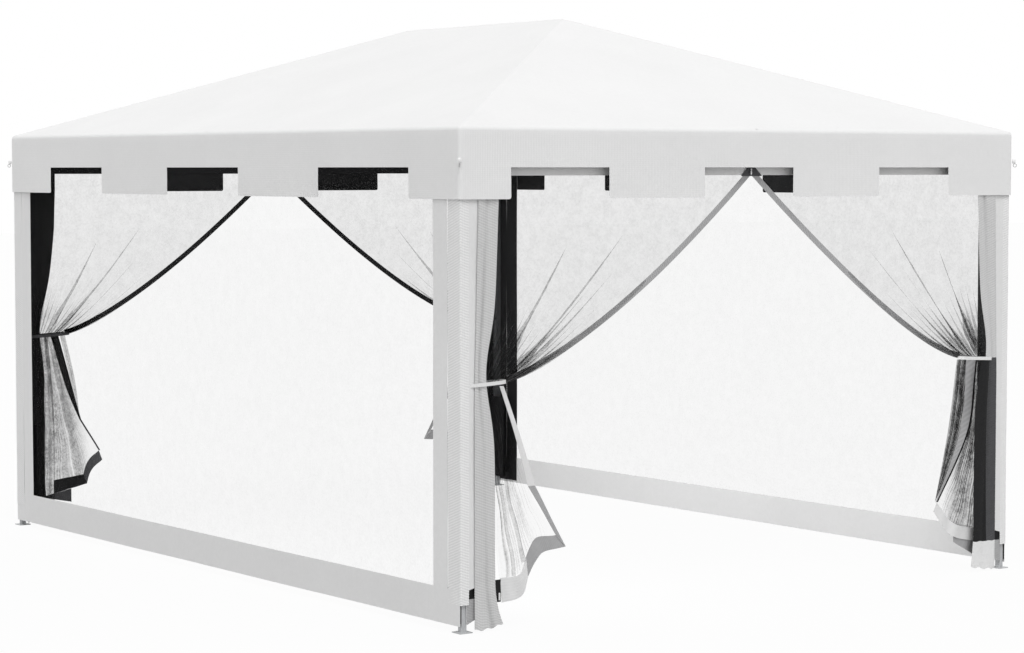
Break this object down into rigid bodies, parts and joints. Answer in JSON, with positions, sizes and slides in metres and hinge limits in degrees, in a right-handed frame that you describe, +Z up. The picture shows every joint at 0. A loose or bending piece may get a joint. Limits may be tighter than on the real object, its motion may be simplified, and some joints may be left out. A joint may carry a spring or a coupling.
{
  "type": "pop up gazebo",
  "caption": "Pop up gazebo with a hip roof and ridge, castellated valance, folding scissor frame, telescopic legs, mesh walls on the long sides and tied-back curtains.",
  "frame": {"origin": "centre of the footprint, on the ground", "axes": "+Z up, +X along the short open front side from the front left leg to the front right leg, +Y along the long sides from front to rear"},
  "size_m": [3.0898, 4.0898, 2.527],
  "materials": {
    "leg_tube": "grey powder coat, satin",
    "frame_tube": "grey powder coat, satin",
    "dark_plastic": "moulded, matt",
    "roof_cloth": "woven polyester, white outside",
    "mesh_cloth": "fine net with smooth cloth bands",
    "curtain_net": "gathered fine net with cloth hems",
    "webbing": "woven webbing"
  },
  "bodies": {
    "leg_front_left": {"leg_outer_front_left": "leg_tube", "corner_bracket_front_left": "dark_plastic", "curtain_front_left": "curtain_net", "canopy": "roof_cloth", "guy_loops": "webbing", "mesh_wall_left": "mesh_cloth"},
    "inner_leg_front_left": {"leg_inner_front_left": "leg_tube"},
    "button_front_left": {"leg_button_front_left": "dark_plastic"},
    "slider_front_left": {"slider_front_left": "dark_plastic"},
    "rafter_outer_front_left": {"rafter_outer_front_left": "frame_tube"},
    "rafter_inner_front_left": {"rafter_inner_front_left": "frame_tube"},
    "leg_front_right": {"leg_outer_front_right": "leg_tube", "corner_bracket_front_right": "dark_plastic", "curtain_front_right": "curtain_net", "mesh_wall_right": "mesh_cloth"},
    "inner_leg_front_right": {"leg_inner_front_right": "leg_tube"},
    "button_front_right": {"leg_button_front_right": "dark_plastic"},
    "slider_front_right": {"slider_front_right": "dark_plastic"},
    "rafter_outer_front_right": {"rafter_outer_front_right": "frame_tube"},
    "rafter_inner_front_right": {"rafter_inner_front_right": "frame_tube"},
    "leg_rear_left": {"leg_outer_rear_left": "leg_tube", "corner_bracket_rear_left": "dark_plastic", "curtain_rear_left": "curtain_net"},
    "inner_leg_rear_left": {"leg_inner_rear_left": "leg_tube"},
    "button_rear_left": {"leg_button_rear_left": "dark_plastic"},
    "slider_rear_left": {"slider_rear_left": "dark_plastic"},
    "rafter_outer_rear_left": {"rafter_outer_rear_left": "frame_tube"},
    "rafter_inner_rear_left": {"rafter_inner_rear_left": "frame_tube"},
    "leg_rear_right": {"leg_outer_rear_right": "leg_tube", "corner_bracket_rear_right": "dark_plastic", "curtain_rear_right": "curtain_net"},
    "inner_leg_rear_right": {"leg_inner_rear_right": "leg_tube"},
    "button_rear_right": {"leg_button_rear_right": "dark_plastic"},
    "slider_rear_right": {"slider_rear_right": "dark_plastic"},
    "rafter_outer_rear_right": {"rafter_outer_rear_right": "frame_tube"},
    "rafter_inner_rear_right": {"rafter_inner_rear_right": "frame_tube"},
    "front_bar_1_down": {"front_scissor_bar_1_down": "frame_tube"},
    "front_bar_1_up": {"front_scissor_bar_1_up": "frame_tube"},
    "front_bar_2_down": {"front_scissor_bar_2_down": "frame_tube"},
    "front_bar_2_up": {"front_scissor_bar_2_up": "frame_tube"},
    "rear_bar_1_down": {"rear_scissor_bar_1_down": "frame_tube"},
    "rear_bar_1_up": {"rear_scissor_bar_1_up": "frame_tube"},
    "rear_bar_2_down": {"rear_scissor_bar_2_down": "frame_tube"},
    "rear_bar_2_up": {"rear_scissor_bar_2_up": "frame_tube"},
    "left_bar_1_down": {"left_scissor_bar_1_down": "frame_tube"},
    "left_bar_1_up": {"left_scissor_bar_1_up": "frame_tube"},
    "left_bar_2_down": {"left_scissor_bar_2_down": "frame_tube"},
    "left_bar_2_up": {"left_scissor_bar_2_up": "frame_tube"},
    "left_bar_3_down": {"left_scissor_bar_3_down": "frame_tube"},
    "left_bar_3_up": {"left_scissor_bar_3_up": "frame_tube"},
    "right_bar_1_down": {"right_scissor_bar_1_down": "frame_tube"},
    "right_bar_1_up": {"right_scissor_bar_1_up": "frame_tube"},
    "right_bar_2_down": {"right_scissor_bar_2_down": "frame_tube"},
    "right_bar_2_up": {"right_scissor_bar_2_up": "frame_tube"},
    "right_bar_3_down": {"right_scissor_bar_3_down": "frame_tube"},
    "right_bar_3_up": {"right_scissor_bar_3_up": "frame_tube"},
    "peak_front": {"peak_post_front": "frame_tube"},
    "ridge_front": {"ridge_bar_front": "frame_tube"},
    "peak_rear": {"peak_post_rear": "frame_tube"},
    "ridge_rear": {"ridge_bar_rear": "frame_tube"}
  },
  "joints": [
    {"name": "frame_fold", "type": "hinge", "parent": "leg_front_left", "child": "front_bar_1_down", "pos_m": [-1.44, -2, 1.955], "axis": [0, 1, 0], "range_deg": [0, 80], "deforming": ["canopy", "mesh_wall_left", "mesh_wall_right", "curtain_front_left", "curtain_front_right", "curtain_rear_left", "curtain_rear_right"]},
    {"name": "front_crossing_1", "type": "hinge", "parent": "front_bar_1_down", "child": "front_bar_1_up", "pos_m": [-0.72, -2, 1.90465], "axis": [0, -1, 0], "range_deg": [0, 160]},
    {"name": "front_joint_low", "type": "hinge", "parent": "front_bar_1_down", "child": "front_bar_2_up", "pos_m": [0, -2, 1.85431], "axis": [0, -1, 0], "range_deg": [0, 160]},
    {"name": "front_crossing_2", "type": "hinge", "parent": "front_bar_2_up", "child": "front_bar_2_down", "pos_m": [0.72, -2, 1.90465], "axis": [0, 1, 0], "range_deg": [0, 160]},
    {"name": "front_end_pivot", "type": "hinge", "parent": "front_bar_2_up", "child": "leg_front_right", "pos_m": [1.44, -2, 1.955], "axis": [0, 1, 0], "range_deg": [0, 80]},
    {"name": "slider_pivot_front_left", "type": "hinge", "parent": "front_bar_1_up", "child": "slider_front_left", "pos_m": [-1.44, -2, 1.85431], "axis": [0, 1, 0], "range_deg": [0, 80]},
    {"name": "slider_pivot_front_right", "type": "hinge", "parent": "front_bar_2_down", "child": "slider_front_right", "pos_m": [1.44, -2, 1.85431], "axis": [0, -1, 0], "range_deg": [0, 80]},
    {"name": "left_start_pivot", "type": "hinge", "parent": "leg_front_left", "child": "left_bar_1_down", "pos_m": [-1.5, -1.94608, 1.955], "axis": [-1, 0, 0], "range_deg": [0, 80]},
    {"name": "left_crossing_1", "type": "hinge", "parent": "left_bar_1_down", "child": "left_bar_1_up", "pos_m": [-1.5, -1.22608, 1.90465], "axis": [1, 0, 0], "range_deg": [0, 160]},
    {"name": "left_joint_low_1", "type": "hinge", "parent": "left_bar_1_down", "child": "left_bar_2_up", "pos_m": [-1.5, -0.61304, 1.86179], "axis": [1, 0, 0], "range_deg": [0, 160]},
    {"name": "left_crossing_2", "type": "hinge", "parent": "left_bar_2_up", "child": "left_bar_2_down", "pos_m": [-1.5, 0, 1.90465], "axis": [-1, 0, 0], "range_deg": [0, 160]},
    {"name": "left_joint_low_2", "type": "hinge", "parent": "left_bar_2_down", "child": "left_bar_3_up", "pos_m": [-1.5, 0.61304, 1.86179], "axis": [1, 0, 0], "range_deg": [0, 160]},
    {"name": "left_crossing_3", "type": "hinge", "parent": "left_bar_3_up", "child": "left_bar_3_down", "pos_m": [-1.5, 1.22608, 1.90465], "axis": [-1, 0, 0], "range_deg": [0, 160]},
    {"name": "left_end_pivot", "type": "hinge", "parent": "left_bar_3_up", "child": "leg_rear_left", "pos_m": [-1.5, 1.94608, 1.955], "axis": [-1, 0, 0], "range_deg": [0, 80]},
    {"name": "slider_pivot_rear_left", "type": "hinge", "parent": "left_bar_3_down", "child": "slider_rear_left", "pos_m": [-1.5, 1.94608, 1.85431], "axis": [1, 0, 0], "range_deg": [0, 80]},
    {"name": "right_start_pivot", "type": "hinge", "parent": "leg_front_right", "child": "right_bar_1_down", "pos_m": [1.5, -1.94608, 1.955], "axis": [-1, 0, 0], "range_deg": [0, 80]},
    {"name": "right_crossing_1", "type": "hinge", "parent": "right_bar_1_down", "child": "right_bar_1_up", "pos_m": [1.5, -1.22608, 1.90465], "axis": [1, 0, 0], "range_deg": [0, 160]},
    {"name": "right_joint_low_1", "type": "hinge", "parent": "right_bar_1_down", "child": "right_bar_2_up", "pos_m": [1.5, -0.61304, 1.86179], "axis": [1, 0, 0], "range_deg": [0, 160]},
    {"name": "right_crossing_2", "type": "hinge", "parent": "right_bar_2_up", "child": "right_bar_2_down", "pos_m": [1.5, 0, 1.90465], "axis": [-1, 0, 0], "range_deg": [0, 160]},
    {"name": "right_joint_low_2", "type": "hinge", "parent": "right_bar_2_down", "child": "right_bar_3_up", "pos_m": [1.5, 0.61304, 1.86179], "axis": [1, 0, 0], "range_deg": [0, 160]},
    {"name": "right_crossing_3", "type": "hinge", "parent": "right_bar_3_up", "child": "right_bar_3_down", "pos_m": [1.5, 1.22608, 1.90465], "axis": [-1, 0, 0], "range_deg": [0, 160]},
    {"name": "right_end_pivot", "type": "hinge", "parent": "right_bar_3_up", "child": "leg_rear_right", "pos_m": [1.5, 1.94608, 1.955], "axis": [-1, 0, 0], "range_deg": [0, 80]},
    {"name": "slider_pivot_rear_right", "type": "hinge", "parent": "right_bar_3_down", "child": "slider_rear_right", "pos_m": [1.5, 1.94608, 1.85431], "axis": [1, 0, 0], "range_deg": [0, 80]},
    {"name": "rear_start_pivot", "type": "hinge", "parent": "leg_rear_left", "child": "rear_bar_1_down", "pos_m": [-1.44, 2, 1.955], "axis": [0, 1, 0], "range_deg": [0, 80]},
    {"name": "rear_crossing_1", "type": "hinge", "parent": "rear_bar_1_down", "child": "rear_bar_1_up", "pos_m": [-0.72, 2, 1.90465], "axis": [0, -1, 0], "range_deg": [0, 160]},
    {"name": "rear_end_pivot", "type": "hinge", "parent": "leg_rear_right", "child": "rear_bar_2_up", "pos_m": [1.44, 2, 1.955], "axis": [0, -1, 0], "range_deg": [0, 80]},
    {"name": "rear_crossing_2", "type": "hinge", "parent": "rear_bar_2_up", "child": "rear_bar_2_down", "pos_m": [0.72, 2, 1.90465], "axis": [0, 1, 0], "range_deg": [0, 160]},
    {"name": "rafter_pivot_front_left", "type": "hinge", "parent": "leg_front_left", "child": "rafter_outer_front_left", "pos_m": [-1.46579, -1.96925, 1.955], "axis": [-0.6684, 0.7438, 0], "range_deg": [0, 80]},
    {"name": "rafter_knee_front_left", "type": "hinge", "parent": "rafter_outer_front_left", "child": "rafter_inner_front_left", "pos_m": [-0.74189, -1.31871, 1.96231], "axis": [0.6684, -0.7438, 0], "range_deg": [0, 160]},
    {"name": "peak_pivot_front", "type": "hinge", "parent": "rafter_inner_front_left", "child": "peak_front", "pos_m": [-0.02579, -0.67517, 2.105], "axis": [-0.6684, 0.7438, 0], "range_deg": [0, 80]},
    {"name": "rafter_pivot_front_right", "type": "hinge", "parent": "leg_front_right", "child": "rafter_outer_front_right", "pos_m": [1.46579, -1.96925, 1.955], "axis": [-0.6684, -0.7438, 0], "range_deg": [0, 80]},
    {"name": "rafter_knee_front_right", "type": "hinge", "parent": "rafter_outer_front_right", "child": "rafter_inner_front_right", "pos_m": [0.74189, -1.31871, 1.96231], "axis": [0.6684, 0.7438, 0], "range_deg": [0, 160]},
    {"name": "rafter_pivot_rear_left", "type": "hinge", "parent": "leg_rear_left", "child": "rafter_outer_rear_left", "pos_m": [-1.46579, 1.96925, 1.955], "axis": [0.6684, 0.7438, 0], "range_deg": [0, 80]},
    {"name": "rafter_knee_rear_left", "type": "hinge", "parent": "rafter_outer_rear_left", "child": "rafter_inner_rear_left", "pos_m": [-0.74189, 1.31871, 1.96231], "axis": [-0.6684, -0.7438, 0], "range_deg": [0, 160]},
    {"name": "peak_pivot_rear", "type": "hinge", "parent": "rafter_inner_rear_left", "child": "peak_rear", "pos_m": [-0.02579, 0.67517, 2.105], "axis": [0.6684, 0.7438, 0], "range_deg": [0, 80]},
    {"name": "rafter_pivot_rear_right", "type": "hinge", "parent": "leg_rear_right", "child": "rafter_outer_rear_right", "pos_m": [1.46579, 1.96925, 1.955], "axis": [0.6684, -0.7438, 0], "range_deg": [0, 80]},
    {"name": "rafter_knee_rear_right", "type": "hinge", "parent": "rafter_outer_rear_right", "child": "rafter_inner_rear_right", "pos_m": [0.74189, 1.31871, 1.96231], "axis": [-0.6684, 0.7438, 0], "range_deg": [0, 160]},
    {"name": "ridge_pivot_front", "type": "hinge", "parent": "peak_front", "child": "ridge_front", "pos_m": [0, -0.652, 2.50931], "axis": [-1, 0, 0], "range_deg": [0, 80]},
    {"name": "ridge_pivot_rear", "type": "hinge", "parent": "peak_rear", "child": "ridge_rear", "pos_m": [0, 0.652, 2.50931], "axis": [1, 0, 0], "range_deg": [0, 80]},
    {"name": "leg_slide_front_left", "type": "slide", "parent": "leg_front_left", "child": "inner_leg_front_left", "axis": [0, 0, 1], "range_m": [0, 0.4]},
    {"name": "leg_release_front_left", "type": "slide", "parent": "leg_front_left", "child": "button_front_left", "axis": [-1, 0, 0], "range_m": [0, 0.002], "stiffness_N_per_m": 1500, "springref_m": -0.002},
    {"name": "leg_slide_front_right", "type": "slide", "parent": "leg_front_right", "child": "inner_leg_front_right", "axis": [0, 0, 1], "range_m": [0, 0.4]},
    {"name": "leg_release_front_right", "type": "slide", "parent": "leg_front_right", "child": "button_front_right", "axis": [1, 0, 0], "range_m": [0, 0.002], "stiffness_N_per_m": 1500, "springref_m": -0.002},
    {"name": "leg_slide_rear_left", "type": "slide", "parent": "leg_rear_left", "child": "inner_leg_rear_left", "axis": [0, 0, 1], "range_m": [0, 0.4]},
    {"name": "leg_release_rear_left", "type": "slide", "parent": "leg_rear_left", "child": "button_rear_left", "axis": [-1, 0, 0], "range_m": [0, 0.002], "stiffness_N_per_m": 1500, "springref_m": -0.002},
    {"name": "leg_slide_rear_right", "type": "slide", "parent": "leg_rear_right", "child": "inner_leg_rear_right", "axis": [0, 0, 1], "range_m": [0, 0.4]},
    {"name": "leg_release_rear_right", "type": "slide", "parent": "leg_rear_right", "child": "button_rear_right", "axis": [1, 0, 0], "range_m": [0, 0.002], "stiffness_N_per_m": 1500, "springref_m": -0.002}
  ],
  "couplings": [
    {"joint": "front_crossing_1", "follows": "frame_fold", "ratio": 2},
    {"joint": "front_joint_low", "follows": "frame_fold", "ratio": 2},
    {"joint": "front_crossing_2", "follows": "frame_fold", "ratio": 2},
    {"joint": "front_end_pivot", "follows": "frame_fold", "ratio": 1},
    {"joint": "slider_pivot_front_left", "follows": "frame_fold", "ratio": 1},
    {"joint": "slider_pivot_front_right", "follows": "frame_fold", "ratio": 1},
    {"joint": "left_start_pivot", "follows": "frame_fold", "ratio": 1},
    {"joint": "left_crossing_1", "follows": "frame_fold", "ratio": 2},
    {"joint": "left_joint_low_1", "follows": "frame_fold", "ratio": 2},
    {"joint": "left_crossing_2", "follows": "frame_fold", "ratio": 2},
    {"joint": "left_joint_low_2", "follows": "frame_fold", "ratio": 2},
    {"joint": "left_crossing_3", "follows": "frame_fold", "ratio": 2},
    {"joint": "left_end_pivot", "follows": "frame_fold", "ratio": 1},
    {"joint": "slider_pivot_rear_left", "follows": "frame_fold", "ratio": 1},
    {"joint": "right_start_pivot", "follows": "frame_fold", "ratio": 1},
    {"joint": "right_crossing_1", "follows": "frame_fold", "ratio": 2},
    {"joint": "right_joint_low_1", "follows": "frame_fold", "ratio": 2},
    {"joint": "right_crossing_2", "follows": "frame_fold", "ratio": 2},
    {"joint": "right_joint_low_2", "follows": "frame_fold", "ratio": 2},
    {"joint": "right_crossing_3", "follows": "frame_fold", "ratio": 2},
    {"joint": "right_end_pivot", "follows": "frame_fold", "ratio": 1},
    {"joint": "slider_pivot_rear_right", "follows": "frame_fold", "ratio": 1},
    {"joint": "rear_start_pivot", "follows": "frame_fold", "ratio": 1},
    {"joint": "rear_crossing_1", "follows": "frame_fold", "ratio": 2},
    {"joint": "rear_end_pivot", "follows": "frame_fold", "ratio": 1},
    {"joint": "rear_crossing_2", "follows": "frame_fold", "ratio": 2},
    {"joint": "rafter_pivot_front_left", "follows": "frame_fold", "ratio": 1},
    {"joint": "rafter_knee_front_left", "follows": "frame_fold", "ratio": 2},
    {"joint": "peak_pivot_front", "follows": "frame_fold", "ratio": 1},
    {"joint": "rafter_pivot_front_right", "follows": "frame_fold", "ratio": 1},
    {"joint": "rafter_knee_front_right", "follows": "frame_fold", "ratio": 2},
    {"joint": "rafter_pivot_rear_left", "follows": "frame_fold", "ratio": 1},
    {"joint": "rafter_knee_rear_left", "follows": "frame_fold", "ratio": 2},
    {"joint": "peak_pivot_rear", "follows": "frame_fold", "ratio": 1},
    {"joint": "rafter_pivot_rear_right", "follows": "frame_fold", "ratio": 1},
    {"joint": "rafter_knee_rear_right", "follows": "frame_fold", "ratio": 2},
    {"joint": "ridge_pivot_front", "follows": "frame_fold", "ratio": 1},
    {"joint": "ridge_pivot_rear", "follows": "frame_fold", "ratio": 1}
  ]
}
